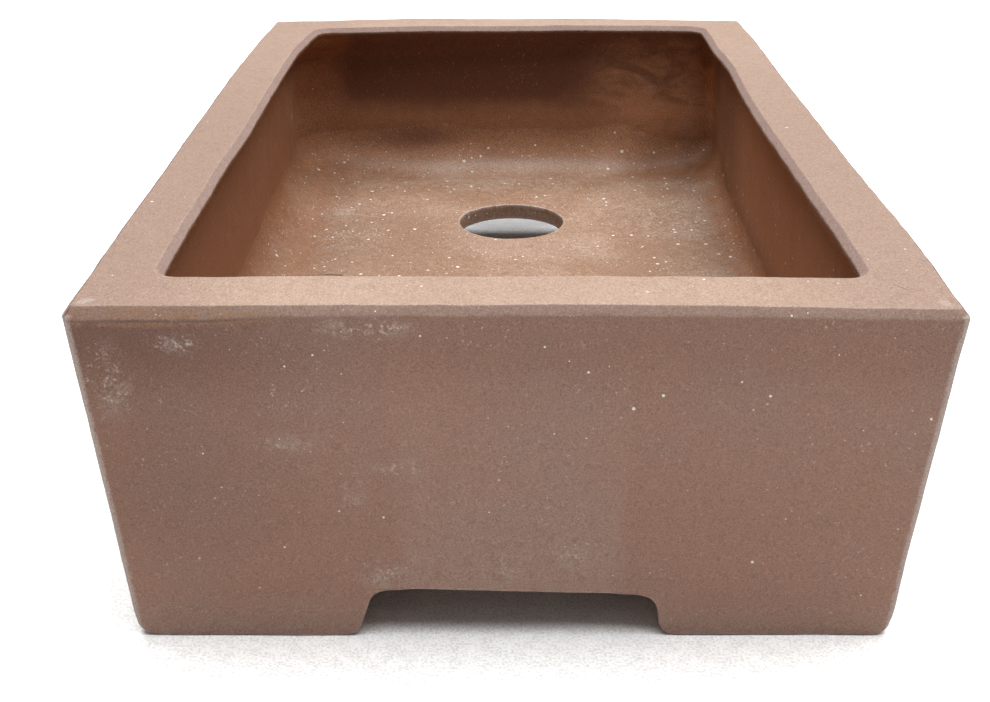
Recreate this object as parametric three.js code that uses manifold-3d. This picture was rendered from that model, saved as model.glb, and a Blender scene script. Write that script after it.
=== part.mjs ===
// A rectangular, unglazed bonsai pot, built up from clay slabs, strips and coils that are
// luted together and fired as one body.
//
// Units are millimetres. +Z is up, X runs across the pot and Y along it. The origin is on the
// ground under the pot's centre. "Front" is the end at -Y, "left" is the side at -X.

import * as THREE from 'three';
import { mergeVertices } from 'three/addons/utils/BufferGeometryUtils.js';
import Module from 'manifold-3d';

// Overall size, over the rim.
const POT_WIDTH = 200;
const POT_LENGTH = 324;
const POT_HEIGHT = 91;

// The outer faces lean in towards the ground by this much on each side.
const WALL_LEAN = 6.8;

// The flat rim is a strip laid on the walls. It overhangs them inside, on a sloping underside.
const LIP_WIDTH = 18.5;
const LIP_DEPTH = 14;
const LIP_EDGE_DEPTH = 4;
const RIM_BEVEL = 2;
const MOUTH_CORNER_RADIUS = 8;

// The walls are thickest under the rim, because their inner faces stand upright.
const WALL_TOP_THICKNESS = 12;

// The floor is let in between the walls, above their lower edges.
const FLOOR_TOP = 29;
const FLOOR_THICKNESS = 6;
const DRAIN_HOLE_DIAMETER = 40;
const DRAIN_HOLE_SPACING = 154;
const DRAIN_HOLE_SIDE_SHIFT = 2;

// Each corner stands on an L-shaped foot. Between the feet the walls end in a notch.
const FOOT_HEIGHT = 13;
const FOOT_LENGTH_ACROSS = 54;
const FOOT_LENGTH_ALONG = 72;
const FOOT_THICKNESS = 12;
const FOOT_FLARE = 9.6;

// Coils pressed into the inner joints. Each is smeared by hand, so their sizes differ.
const FLOOR_COIL_RADIUS = { front: 12, back: 20, left: 16, right: 7 };
const CORNER_COIL_RADIUS = { front_left: 10, front_right: 5, back_left: 20, back_right: 4 };
const COIL_EDGE = 0.5;

// Clearance left between neighbouring pieces, and the smoothness of the curves.
const JOINT_GAP = 0.3;
const ARC_STEPS = 8;
const HOLE_STEPS = 48;

const HALF_WIDTH = POT_WIDTH / 2;
const HALF_LENGTH = POT_LENGTH / 2;
const INNER_HALF_WIDTH = HALF_WIDTH - WALL_TOP_THICKNESS;
const INNER_HALF_LENGTH = HALF_LENGTH - WALL_TOP_THICKNESS;
const FLOOR_UNDERSIDE = FLOOR_TOP - FLOOR_THICKNESS;
const LIP_BOTTOM = POT_HEIGHT - LIP_DEPTH;
const LEAN_TOP = POT_HEIGHT - RIM_BEVEL;

const clay = {
  rim: new THREE.MeshStandardMaterial({ color: 0xc4a08c, roughness: 0.82, metalness: 0 }),
  wall: new THREE.MeshStandardMaterial({ color: 0x8a6a5c, roughness: 0.85, metalness: 0 }),
  floor: new THREE.MeshStandardMaterial({ color: 0xa98068, roughness: 0.8, metalness: 0 }),
  coil: new THREE.MeshStandardMaterial({ color: 0x9a6f56, roughness: 0.8, metalness: 0 }),
  foot: new THREE.MeshStandardMaterial({ color: 0x84665a, roughness: 0.88, metalness: 0 }),
};

const manifold = await Module();
manifold.setup();

const pot = new THREE.Group();

function outerInset(z) {
  return WALL_LEAN * (LEAN_TOP - Math.min(z, LEAN_TOP)) / LEAN_TOP;
}

// The two ends run along X and face Y, and the two sides run along Y and face X. The mitre
// plane at a corner is where the run is the distance out plus mitreShift.
const FACINGS = {
  front: { outHalf: HALF_LENGTH, mitreShift: HALF_WIDTH - HALF_LENGTH, place: (out, run) => [run, -out] },
  back: { outHalf: HALF_LENGTH, mitreShift: HALF_WIDTH - HALF_LENGTH, place: (out, run) => [run, out] },
  left: { outHalf: HALF_WIDTH, mitreShift: HALF_LENGTH - HALF_WIDTH, place: (out, run) => [-out, run] },
  right: { outHalf: HALF_WIDTH, mitreShift: HALF_LENGTH - HALF_WIDTH, place: (out, run) => [out, run] },
};

function signedVolume(geometry) {
  const point = geometry.attributes.position;
  const index = geometry.index.array;
  const [a, b, c] = [new THREE.Vector3(), new THREE.Vector3(), new THREE.Vector3()];
  let volume = 0;
  for (let i = 0; i < index.length; i += 3) {
    a.fromBufferAttribute(point, index[i]);
    b.fromBufferAttribute(point, index[i + 1]);
    c.fromBufferAttribute(point, index[i + 2]);
    volume += a.dot(b.cross(c)) / 6;
  }
  return volume;
}

// Shares the vertices of an extrusion whose points have been moved, and turns its faces out.
function closed(geometry) {
  geometry.deleteAttribute('normal');
  geometry.deleteAttribute('uv');
  const merged = mergeVertices(geometry, 1e-4);
  if (signedVolume(merged) < 0) {
    const index = merged.index.array;
    for (let i = 0; i < index.length; i += 3) {
      [index[i], index[i + 1]] = [index[i + 1], index[i]];
    }
  }
  merged.computeVertexNormals();
  return merged;
}

// Extrudes an outline and sends each point (a, b, step) through move to its place in the pot.
function extrudeAndMove(outline, steps, move) {
  const geometry = new THREE.ExtrudeGeometry(outline, { depth: steps, steps, bevelEnabled: false });
  const point = geometry.attributes.position;
  for (let i = 0; i < point.count; i += 1) {
    point.setXYZ(i, ...move(point.getX(i), point.getY(i), Math.round(point.getZ(i))));
  }
  return closed(geometry);
}

function toSolid(geometry) {
  return new manifold.Manifold(new manifold.Mesh({
    numProp: 3,
    vertProperties: new Float32Array(geometry.attributes.position.array),
    triVerts: new Uint32Array(geometry.index.array),
  }));
}

function toGeometry(solid) {
  const mesh = solid.getMesh();
  const geometry = new THREE.BufferGeometry();
  geometry.setAttribute('position', new THREE.BufferAttribute(mesh.vertProperties, 3));
  geometry.setIndex(new THREE.BufferAttribute(mesh.triVerts, 1));
  geometry.computeVertexNormals();
  return geometry;
}

function addPiece(name, geometry, material) {
  const mesh = new THREE.Mesh(geometry, material.clone());
  mesh.name = name;
  pot.add(mesh);
}

function outlineOf(points) {
  return new THREE.Shape(points.map(([a, b]) => new THREE.Vector2(a, b)));
}

// A bar that runs along one side of the pot, with both ends mitred at 45 degrees.
function mitredBar(facing, section) {
  const { mitreShift, place } = FACINGS[facing];
  return extrudeAndMove(outlineOf(section), 1, (out, z, step) => {
    const run = (out + mitreShift - JOINT_GAP / 2) * (step === 0 ? -1 : 1);
    return [...place(out, run), z];
  });
}

// The rim strip is a mitred bar too, but its inner edge also turns the mouth's round corners.
function lipStrip(facing) {
  const { outHalf, mitreShift, place } = FACINGS[facing];
  const innerEdge = outHalf - LIP_WIDTH;
  const section = [
    [outHalf - outerInset(LIP_BOTTOM), LIP_BOTTOM],
    [outHalf, LEAN_TOP],
    [outHalf - RIM_BEVEL, POT_HEIGHT],
    [innerEdge + RIM_BEVEL, POT_HEIGHT],
    [innerEdge, LEAN_TOP],
    [innerEdge, POT_HEIGHT - LIP_EDGE_DEPTH],
    [outHalf - WALL_TOP_THICKNESS, LIP_BOTTOM],
  ];
  const straightHalf = innerEdge + mitreShift - MOUTH_CORNER_RADIUS;
  const steps = 2 * ARC_STEPS + 1;
  return extrudeAndMove(outlineOf(section), steps, (out, z, step) => {
    const end = step <= ARC_STEPS ? -1 : 1;
    const turned = Math.max(ARC_STEPS - step, step - steps + ARC_STEPS) / ARC_STEPS;
    const angle = turned * Math.PI / 4;
    const overMouth = out < outHalf - WALL_TOP_THICKNESS - JOINT_GAP;
    const narrowing = overMouth ? MOUTH_CORNER_RADIUS : 0;
    const atMitre = out - narrowing * (1 - Math.SQRT1_2) + mitreShift - JOINT_GAP / 2;
    const run = straightHalf + (atMitre - straightHalf) * Math.sin(angle) * Math.SQRT2;
    return [...place(out - narrowing * (1 - Math.cos(angle)), run * end), z];
  });
}

function wallSlab(facing) {
  const { outHalf } = FACINGS[facing];
  const top = LIP_BOTTOM - JOINT_GAP;
  return mitredBar(facing, [
    [outHalf - outerInset(FOOT_HEIGHT), FOOT_HEIGHT],
    [outHalf - outerInset(top), top],
    [outHalf - WALL_TOP_THICKNESS, top],
    [outHalf - WALL_TOP_THICKNESS, FOOT_HEIGHT],
  ]);
}

// The section of a coil pressed into a right-angled joint and hollowed with a finger.
function coilSection(corner, base, radius) {
  const section = [[corner, base]];
  for (let i = 0; i <= ARC_STEPS; i += 1) {
    const angle = -Math.PI / 2 * i / ARC_STEPS;
    const reach = radius - COIL_EDGE;
    section.push([corner - radius + reach * Math.cos(angle), base + radius + reach * Math.sin(angle)]);
  }
  section.splice(1, 0, [corner, base + radius]);
  section.push([corner - radius, base]);
  return section;
}

function floorCoil(facing) {
  const corner = FACINGS[facing].outHalf - WALL_TOP_THICKNESS - JOINT_GAP;
  return mitredBar(facing, coilSection(corner, FLOOR_TOP + JOINT_GAP, FLOOR_COIL_RADIUS[facing]));
}

function cornerCoil(end, side) {
  const radius = CORNER_COIL_RADIUS[`${end}_${side}`];
  const bottom = FLOOR_TOP + 2 * JOINT_GAP + Math.max(FLOOR_COIL_RADIUS[end], FLOOR_COIL_RADIUS[side]);
  const top = LIP_BOTTOM - JOINT_GAP;
  const [endSign, sideSign] = [end === 'front' ? -1 : 1, side === 'left' ? -1 : 1];
  const section = coilSection(0, 0, radius).map(([a, b]) => [-a, b]);
  return extrudeAndMove(outlineOf(section), 1, (across, along, step) => [
    sideSign * (INNER_HALF_WIDTH - JOINT_GAP - across),
    endSign * (INNER_HALF_LENGTH - JOINT_GAP - along),
    step === 0 ? bottom : top,
  ]);
}

function floorSlab() {
  const [x, y] = [INNER_HALF_WIDTH - JOINT_GAP, INNER_HALF_LENGTH - JOINT_GAP];
  const slab = outlineOf([[-x, -y], [x, -y], [x, y], [-x, y]]);
  for (const end of [-1, 1]) {
    const hole = new THREE.Path();
    hole.absarc(DRAIN_HOLE_SIDE_SHIFT, end * DRAIN_HOLE_SPACING / 2, DRAIN_HOLE_DIAMETER / 2, 0, 2 * Math.PI);
    slab.holes.push(new THREE.Path(hole.getPoints(HOLE_STEPS).slice(0, -1)));
  }
  return extrudeAndMove(slab, 1, (a, b, step) => [a, b, step === 0 ? FLOOR_UNDERSIDE : FLOOR_TOP]);
}

// One leg of a foot, seen square on: its inner flank flares out in a curve towards the notch.
function footLeg(outHalf, runHalf, length, place) {
  const top = FOOT_HEIGHT - JOINT_GAP;
  const heel = runHalf - outerInset(0) - length;
  const outline = new THREE.Shape();
  outline.moveTo(runHalf - outerInset(0), 0);
  outline.lineTo(runHalf - outerInset(top), top);
  outline.lineTo(heel - FOOT_FLARE, top);
  outline.bezierCurveTo(heel - 0.44 * FOOT_FLARE, top - 0.5, heel - 0.27 * FOOT_FLARE, 0.66 * top, heel, 0);
  const points = outline.getPoints(ARC_STEPS).slice(0, -1);
  const flat = new THREE.Shape([...points, new THREE.Vector2(heel, 0)]);
  return toSolid(extrudeAndMove(flat, 1, (run, z, step) => {
    const out = step === 0 ? outHalf - outerInset(z) : outHalf - outerInset(0) - FOOT_THICKNESS;
    return [...place(out, run), z];
  }));
}

// The part of a foot that rises behind the wall's lower edge to the underside of the floor.
function footRiser(outHalf, runHalf, length, place) {
  const [inner, outer] = [outHalf - outerInset(0) - FOOT_THICKNESS, outHalf - WALL_TOP_THICKNESS - JOINT_GAP];
  const [near, far] = [runHalf - outerInset(0) - length, runHalf - WALL_TOP_THICKNESS - JOINT_GAP];
  const plan = outlineOf([[inner, near], [outer, near], [outer, far], [inner, far]]);
  const top = FLOOR_UNDERSIDE - JOINT_GAP;
  return toSolid(extrudeAndMove(plan, 1, (out, run, step) => [...place(out, run), step * top]));
}

function foot(end, side) {
  const [endSign, sideSign] = [end === 'front' ? -1 : 1, side === 'left' ? -1 : 1];
  const acrossPlace = (out, run) => [sideSign * run, endSign * out];
  const alongPlace = (out, run) => [sideSign * out, endSign * run];
  const across = [HALF_LENGTH, HALF_WIDTH, FOOT_LENGTH_ACROSS, acrossPlace];
  const along = [HALF_WIDTH, HALF_LENGTH, FOOT_LENGTH_ALONG, alongPlace];
  const legs = footLeg(...across).add(footLeg(...along));
  return toGeometry(legs.add(footRiser(...across)).add(footRiser(...along)));
}

addPiece('floor_slab', floorSlab(), clay.floor);
for (const facing of Object.keys(FACINGS)) {
  const wallKind = facing === 'front' || facing === 'back' ? 'end_wall' : 'side_wall';
  addPiece(`${wallKind}_${facing}`, wallSlab(facing), clay.wall);
  addPiece(`lip_strip_${facing}`, lipStrip(facing), clay.rim);
  addPiece(`floor_coil_${facing}`, floorCoil(facing), clay.coil);
}
for (const end of ['front', 'back']) {
  for (const side of ['left', 'right']) {
    addPiece(`corner_coil_${end}_${side}`, cornerCoil(end, side), clay.coil);
    addPiece(`foot_${end}_${side}`, foot(end, side), clay.foot);
  }
}

export default pot;
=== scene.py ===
"""A hand-built, unglazed bonsai pot on a white table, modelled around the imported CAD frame.

Shapes are worked out in millimetres in the frame's axes and turned into metres when a mesh is
made. Every piece of clay is a closed solid of its own. Neighbours share their edges, and one
set of warps moves them all, so the fired pot looks seamless where the real one does.
"""
import math
from functools import partial

import bmesh
import bpy
import numpy as np
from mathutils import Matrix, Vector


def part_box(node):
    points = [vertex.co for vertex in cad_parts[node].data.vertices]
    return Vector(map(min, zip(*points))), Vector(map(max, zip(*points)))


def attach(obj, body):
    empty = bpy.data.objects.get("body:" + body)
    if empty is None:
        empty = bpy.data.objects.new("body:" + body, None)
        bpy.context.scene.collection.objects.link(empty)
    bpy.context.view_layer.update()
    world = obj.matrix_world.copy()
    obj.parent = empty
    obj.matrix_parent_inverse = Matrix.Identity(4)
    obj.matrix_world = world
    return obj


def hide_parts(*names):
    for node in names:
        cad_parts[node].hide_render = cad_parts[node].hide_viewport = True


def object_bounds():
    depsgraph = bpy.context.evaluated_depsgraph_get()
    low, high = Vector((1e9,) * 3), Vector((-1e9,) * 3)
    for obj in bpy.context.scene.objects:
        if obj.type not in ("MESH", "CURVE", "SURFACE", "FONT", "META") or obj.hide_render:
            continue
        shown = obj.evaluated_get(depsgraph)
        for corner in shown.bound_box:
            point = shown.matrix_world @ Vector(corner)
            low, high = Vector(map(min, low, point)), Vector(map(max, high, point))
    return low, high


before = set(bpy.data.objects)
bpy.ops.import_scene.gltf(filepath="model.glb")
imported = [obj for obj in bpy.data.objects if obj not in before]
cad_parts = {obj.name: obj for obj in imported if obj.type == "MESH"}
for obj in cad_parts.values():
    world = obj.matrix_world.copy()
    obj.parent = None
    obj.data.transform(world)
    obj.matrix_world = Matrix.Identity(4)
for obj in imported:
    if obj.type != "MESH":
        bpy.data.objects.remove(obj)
cad_low, cad_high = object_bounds()

METRES_PER_MM = 0.001


def node_box(node):
    """Lowest and highest corner of a CAD node, in millimetres."""
    low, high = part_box(node)
    return np.array(low) / METRES_PER_MM, np.array(high) / METRES_PER_MM


# -------- sizes, from the frame

BOX_LOW = np.array(cad_low) / METRES_PER_MM
BOX_HIGH = np.array(cad_high) / METRES_PER_MM
HALF_WIDTH, HALF_LENGTH, POT_HEIGHT = BOX_HIGH
LIP_BOTTOM = node_box("lip_strip_front")[0][2]
WALL_THICKNESS = HALF_LENGTH + node_box("end_wall_front")[1][1]
FOOT_HEIGHT = node_box("end_wall_front")[0][2]
FLOOR_UNDERSIDE, FLOOR_TOP = node_box("floor_slab")[0][2], node_box("floor_slab")[1][2]

# -------- sizes that the frame's boxes don't give

WALL_LEAN = 6.8
LIP_WIDTH = 18.5
RIM_BEVEL = 2.0
INNER_BEVEL = 1.8
LIP_EDGE_DEPTH = 3.0
DRAIN_HOLE_RADIUS = 20.0
DRAIN_HOLE_CENTRE = (2.0, 77.0)
FOOT_THICKNESS = 12.0

# Roundings. A plan radius turns a horizontal line round a corner of the pot.
OUTER_CORNER_RADIUS = 1.8
MOUTH_CORNER_RADIUS = 5.5
CORNER_COIL_RADIUS = {
    ("front", "left"): 10.0,
    ("front", "right"): 5.0,
    ("back", "left"): 20.0,
    ("back", "right"): 4.0,
}
FLOOR_COIL_RADIUS = {"front": 12.0, "back": 20.0, "left": 16.0, "right": 7.0}
FLOOR_COIL_CORNER_GAIN = 5.0

# How far hidden faces sink into the clay beside them, and how far an upright coil dips into
# the floor's coils.
SINK = 0.15
CORNER_COIL_DIP = 2.6

# Mesh density.
STEP = 1.5
FINE_STEP = 0.45
FINE_LENGTH = 8.0
FILLET_STEPS = 5
FLOOR_ARC_STEPS = 14
CORNER_ARC_STEPS = 12
SHARP_ANGLE_DEGREES = 38
MERGE_DISTANCE = 1e-4

LEAN_TOP = POT_HEIGHT - RIM_BEVEL

# For each facing: the distance out of its outer face, which end or side lies at each end of
# its run, and where a point that far out and along lands in the frame.
FACINGS = {
    "front": (HALF_LENGTH, ("left", "right"), lambda out, run: (run, -out)),
    "back": (HALF_LENGTH, ("left", "right"), lambda out, run: (run, out)),
    "left": (HALF_WIDTH, ("front", "back"), lambda out, run: (-out, run)),
    "right": (HALF_WIDTH, ("front", "back"), lambda out, run: (out, run)),
}


def inset(z):
    """How far the leaning outer face stands in from the rim at height z."""
    return WALL_LEAN * (LEAN_TOP - np.minimum(z, LEAN_TOP)) / LEAN_TOP


def smooth(value, low, high):
    """0 below low, 1 above high, and an S-curve between them. low may be the larger one."""
    share = np.clip((np.asarray(value, float) - low) / (high - low), 0.0, 1.0)
    return share * share * (3.0 - 2.0 * share)


def bump(value, centre, width):
    """1 at centre, falling to nothing at about twice width away."""
    return np.exp(-((np.asarray(value, float) - centre) / width) ** 2)


def curve(value, start, *steps):
    """start, plus the amount of each (amount, low, high) step that value has passed."""
    total = start
    for amount, low, high in steps:
        total = total + amount * smooth(value, low, high)
    return total


def neighbour_at(facing, share):
    """The facing round the corner at the end of the run that share lies towards."""
    return FACINGS[facing][1][0 if share < 0 else 1]


def corner_key(facing, neighbour):
    """The (end, side) pair that names the corner between two facings."""
    return (facing, neighbour) if facing in ("front", "back") else (neighbour, facing)


# -------- the hand of the potter

# How far the long sides stand to the right of straight: a start and steps along y, for curve().
LEFT_BOW = (0.1, (1.7, 50, 175))
RIGHT_BOW = (-0.6, (0.6, -55, -118), (0.6, 60, 130))

# How far the mouth's edges are cut towards the middle, as a start and steps along y, then as
# an amount, centre and width of each bump.
LEFT_CUT = (-0.45, (1.4, -12, -62), (-1.6, 98, 128), (-1.6, 122, 146))
RIGHT_CUT = (0.45, (0.7, 80, 105))
RIGHT_CUT_BUMPS = ((0.65, 0, 35), (-0.8, 70, 22))
BACK_CUT_TILT = 1.6
FRONT_CUT = 2.4

# How far the rim droops at each corner, and how far it has settled all along.
CORNER_DROOP = {
    ("front", "left"): 0.4,
    ("front", "right"): 1.0,
    ("back", "left"): 1.2,
    ("back", "right"): 0.9,
}
RIM_SETTLING = 0.22

RIGHT_FACE_OPENING = 1.6
FRONT_LEFT_FOOT_LIFT = 0.7

# The feet's outer corners are knocked off round: how far in the knock reaches, its height, and
# the share of that height that comes from the side alone and from side and end together.
KNOCK_REACH = 3.6
KNOCK_HEIGHT = 1.9
KNOCK_FROM_SIDE = 0.8
KNOCK_FROM_BOTH = 0.5

# Unevenness from pressing and scraping, then small dents: the wavelength, the number of waves,
# the seed and the size along each axis.
RIPPLES = (
    (46, 14, 3, (0.10, 0.10, 0.08)),
    (15, 18, 8, (0.05, 0.05, 0.045)),
    (5.0, 26, 21, (0.026, 0.026, 0.022)),
)


def ripple(points, wavelength, waves, seed):
    """A smooth random field: three values for each point, each mostly between -1 and 1."""
    random = np.random.default_rng(seed)
    direction = random.normal(size=(waves, 3))
    direction /= np.linalg.norm(direction, axis=1)[:, None]
    lengths = wavelength * random.uniform(0.7, 1.5, waves)
    phase = random.uniform(0, 2 * math.pi, (3, waves))
    angle = points @ (direction * (2 * math.pi / lengths)[:, None]).T
    return np.stack([np.sin(angle + p).sum(1) for p in phase], 1) * math.sqrt(1.0 / waves)


# Cracks and gouges: which piece, the line they follow, their width, their depth, and the
# direction that they go into the clay.
GROOVES = {
    "foot_front_right": [
        (
            [(83.5, -158, 5.2), (87.6, -157, 5.5), (91.0, -157, 6.8), (94.5, -156, 6.9)],
            0.22, 0.7, (0, 1, 0),
        ),
    ],
    "lip_strip_left": [
        (
            [(-81.3, -101, 88.4), (-81.3, -98, 87.9), (-81.6, -95, 87.2), (-82.4, -90, 86.4)],
            0.45, 1.3, (-1, 0, -0.3),
        ),
    ],
    "floor_slab": [
        (
            [(-69.5, 17.6, 29), (-66.0, 19.3, 29), (-62.5, 19.7, 29), (-58.4, 18.8, 29)],
            0.45, 1.3, (0, 0, -1),
        ),
    ],
}

# How near a groove an edge of the mesh is split, once for each.
REFINE_REACHES = (3.2, 1.6, 0.9)


def distance_to_line(points, line):
    """Distance from each point to a polyline, and how far along it the nearest place is, 0 to 1."""
    line = np.array(line, float)
    best = np.full(len(points), np.inf)
    share = np.zeros(len(points))
    for i in range(len(line) - 1):
        a, span = line[i], line[i + 1] - line[i]
        t = np.clip((points - a) @ span / (span @ span), 0, 1)
        d = np.linalg.norm(points - (a + t[:, None] * span), axis=1)
        closer = d < best
        best[closer] = d[closer]
        share[closer] = (i + t[closer]) / (len(line) - 1)
    return best, share


def warp(points):
    """Moves points of the ideal pot to where they are on the fired one."""
    x, y, z = points.T
    high = smooth(z, 10, 88)
    move = np.zeros_like(points)

    # The long sides bow a little, and the back end has slid to the right.
    to_right = np.clip(0.5 + 0.5 * x / HALF_WIDTH, 0, 1)
    left_move = curve(y, *LEFT_BOW)
    right_move = curve(y, *RIGHT_BOW)
    move[:, 0] += high * (left_move + (right_move - left_move) * to_right)

    # The mouth's edges are cut by hand: wide at the front left, narrow at the back left.
    over_mouth = smooth(z, 76, 85)
    left_edge = over_mouth * smooth(x, -92, -85) * smooth(x, 0, -40)
    right_edge = over_mouth * smooth(x, 92, 85) * smooth(x, 0, 40)
    back_edge = over_mouth * smooth(y, 157, 147) * smooth(y, 60, 120)
    front_edge = over_mouth * smooth(y, -157, -147) * smooth(y, -60, -120)
    left_cut = curve(y, *LEFT_CUT)
    right_cut = curve(y, *RIGHT_CUT)
    for amount, centre, width in RIGHT_CUT_BUMPS:
        right_cut = right_cut + amount * bump(y, centre, width)
    move[:, 0] -= left_edge * left_cut + right_edge * right_cut
    move[:, 1] += back_edge * BACK_CUT_TILT * np.clip(x / 60, -1, 1) + front_edge * FRONT_CUT

    # The rim droops at its corners.
    towards_end = {"front": smooth(y, -120, -160), "back": smooth(y, 120, 160)}
    towards_side = {"left": smooth(x, -40, -98), "right": smooth(x, 30, 98)}
    for (end, side), droop in CORNER_DROOP.items():
        move[:, 2] -= smooth(z, 45, 90) * droop * towards_end[end] * towards_side[side]

    # The right inner face opens out low down at the back, and the front left foot lifts.
    on_right_face = smooth(x, 80, 87) * smooth(x, 93, 89)
    low_at_back = smooth(y, 20, 140) * smooth(z, 74, 45) * smooth(z, 22, 28)
    move[:, 0] += RIGHT_FACE_OPENING * low_at_back * on_right_face
    under_foot = smooth(z, 10, 2) * smooth(x, -83, -93) * smooth(y, -130, -150)
    move[:, 2] += FRONT_LEFT_FOOT_LIFT * under_foot

    from_side = np.clip(1 - (HALF_WIDTH - WALL_LEAN - np.abs(x)) / KNOCK_REACH, 0, 1)
    from_end = np.clip(1 - (HALF_LENGTH - WALL_LEAN - np.abs(y)) / KNOCK_REACH, 0, 1)
    at_corner = smooth(np.abs(y), 138, 152) * smooth(np.abs(x), 72, 86) * smooth(z, 6, 0)
    knocked = KNOCK_FROM_SIDE * from_side ** 2 + KNOCK_FROM_BOTH * from_side * from_end
    move[:, 2] += KNOCK_HEIGHT * at_corner * knocked

    for wavelength, waves, seed, size in RIPPLES:
        move += ripple(points, wavelength, waves, seed) * np.array(size)
    move[:, 2] -= RIM_SETTLING * smooth(z, 82, 90)
    return points + move


def carve(points, grooves):
    """Presses the cracks and gouges into points that are still in their ideal places."""
    moved = points.copy()
    for line, width, depth, into in grooves:
        distance, share = distance_to_line(points, line)
        swell = 0.35 + 0.65 * smooth(share, 0.0, 0.75)
        press = depth * swell * bump(distance, 0, width * swell)
        moved += press[:, None] * np.array(into, float)
    return moved


# -------- making meshes


def refine(bm, grooves):
    """Splits the edges near each groove, so that the mesh can hold it."""
    for reach in REFINE_REACHES:
        bm.verts.ensure_lookup_table()
        points = np.array([v.co for v in bm.verts])
        near = np.zeros(len(points), bool)
        for line, *_ in grooves:
            near |= distance_to_line(points, line)[0] < reach
        edges = [e for e in bm.edges if near[e.verts[0].index] and near[e.verts[1].index]]
        bmesh.ops.subdivide_edges(bm, edges=edges, cuts=1, use_grid_fill=True)
        bm.verts.index_update()
        bmesh.ops.triangulate(bm, faces=[f for f in bm.faces if len(f.verts) > 4])


def make_piece(name, points, faces, wear_and_highlight, slot):
    """A piece of clay from points in millimetres, with its wear and painted edge highlights: 0, 1 on
    edges, 2 at upright corners.

    The mesh also carries made_at, each point's place on the ideal pot, for the material.
    """
    mesh = bpy.data.meshes.new(name)
    mesh.from_pydata(points.tolist(), [], faces)
    wear_and_highlight_data = mesh.attributes.new("wear_and_highlight", "FLOAT", "POINT").data
    wear_and_highlight_data.foreach_set("value", np.asarray(wear_and_highlight, np.float32))

    bm = bmesh.new()
    bm.from_mesh(mesh)
    bmesh.ops.remove_doubles(bm, verts=bm.verts, dist=MERGE_DISTANCE)
    grooves = GROOVES.get(name.removeprefix("clay_"), [])
    if grooves:
        refine(bm, grooves)
    bmesh.ops.recalc_face_normals(bm, faces=bm.faces)
    bm.to_mesh(mesh)
    bm.free()

    co = np.empty(len(mesh.vertices) * 3)
    mesh.vertices.foreach_get("co", co)
    mesh.attributes.new("made_at", "FLOAT_VECTOR", "POINT").data.foreach_set("vector", co)
    fired = warp(carve(co.reshape(-1, 3), grooves))
    fired = np.clip(fired, BOX_LOW, BOX_HIGH) * METRES_PER_MM
    mesh.vertices.foreach_set("co", fired.ravel())
    mesh.update()
    mesh.shade_smooth()
    mesh.set_sharp_from_angle(angle=math.radians(SHARP_ANGLE_DEGREES))

    piece = bpy.data.objects.new(name, mesh)
    bpy.context.scene.collection.objects.link(piece)
    mesh.materials.append(clay_materials[slot])
    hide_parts(name.removeprefix("clay_"))
    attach(piece, "root")


def outline(corners):
    """A closed section with rounded corners, as rows of out, up, plan radius, and wear and painted
    highlight.

    Each corner is (out, up, fillet, plan radius, wear and painted highlight, steps to the next corner).
    """
    places = np.array([c[:2] for c in corners], float)
    rows = []
    for i, (out, up, fillet, plan, wear_and_highlight, steps) in enumerate(corners):
        here, before, after = places[i], places[i - 1], places[(i + 1) % len(corners)]
        to_before, to_after = before - here, after - here
        reach_before, reach_after = np.linalg.norm(to_before), np.linalg.norm(to_after)
        cut = min(fillet, 0.45 * reach_before, 0.45 * reach_after)
        if fillet > 0:
            a = here + to_before * (cut / max(reach_before, 1e-9))
            b = here + to_after * (cut / max(reach_after, 1e-9))
            for t in np.linspace(0, 1, FILLET_STEPS):
                point = (1 - t) ** 2 * a + 2 * t * (1 - t) * here + t * t * b
                rows.append([*point, plan, wear_and_highlight * math.sin(math.pi * (0.1 + 0.8 * t))])
        else:
            rows.append([out, up, plan, wear_and_highlight])
        rows.append([None, None, None, steps])
    return fill_between(rows)


def fill_between(rows):
    """Replaces each [None, None, None, steps] row by evenly spaced points on that stretch."""
    filled = []
    for i, row in enumerate(rows):
        if row[0] is not None:
            filled.append(row)
            continue
        a, b = np.array(rows[i - 1], float), np.array(rows[(i + 1) % len(rows)], float)
        for k in range(1, row[3]):
            filled.append(list(a + (b - a) * (k / row[3])))
    return np.array(filled, float)


def travel(out, reach, plan, travelled):
    """Follows a line along a facing and round its corner to the mitre: new out and run.

    reach is the run at the mitre of an unrounded line.
    """
    side = np.sign(travelled)
    turn = np.clip((np.abs(travelled) - (reach - plan)) / np.maximum(plan, 1e-6), 0, math.pi / 4)
    straight = np.minimum(np.abs(travelled), reach - plan)
    return out - plan * (1 - np.cos(turn)), side * (straight + plan * np.sin(turn))


def mitre_shift(facing):
    """What a facing's run is more than its distance out, at the mitre."""
    return HALF_WIDTH + HALF_LENGTH - 2 * FACINGS[facing][0]


def stations(facing):
    """Shares of the run from mitre to mitre, closer together near the corners."""
    half = FACINGS[facing][0] + mitre_shift(facing)
    fine = np.linspace(half, half - FINE_LENGTH, round(FINE_LENGTH / FINE_STEP) + 1)
    plain = half - FINE_LENGTH
    middle = np.linspace(-plain, plain, round(2 * plain / STEP) + 1)
    return np.concatenate([-fine[:-1], middle, fine[::-1][1:]]) / half


def sweep(facing, shares, section_at):
    """Sections along a whole facing, mitred at both ends: points, and wear and painted highlights, by
    station.
    """
    place = FACINGS[facing][2]
    points, wears_and_highlights = [], []
    for share in shares:
        out, up, plan, wear_and_highlight = section_at(share).T
        reach = out + mitre_shift(facing)
        length = reach - plan * (1 - math.pi / 4)
        new_out, run = travel(out, reach, plan, share * length)
        points.append(np.stack([*place(new_out, run), up], 1))
        wears_and_highlights.append(np.maximum(wear_and_highlight, corner_wear_and_highlight(plan, length * (1 - abs(share)))))
    return np.array(points), np.array(wears_and_highlights)


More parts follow.
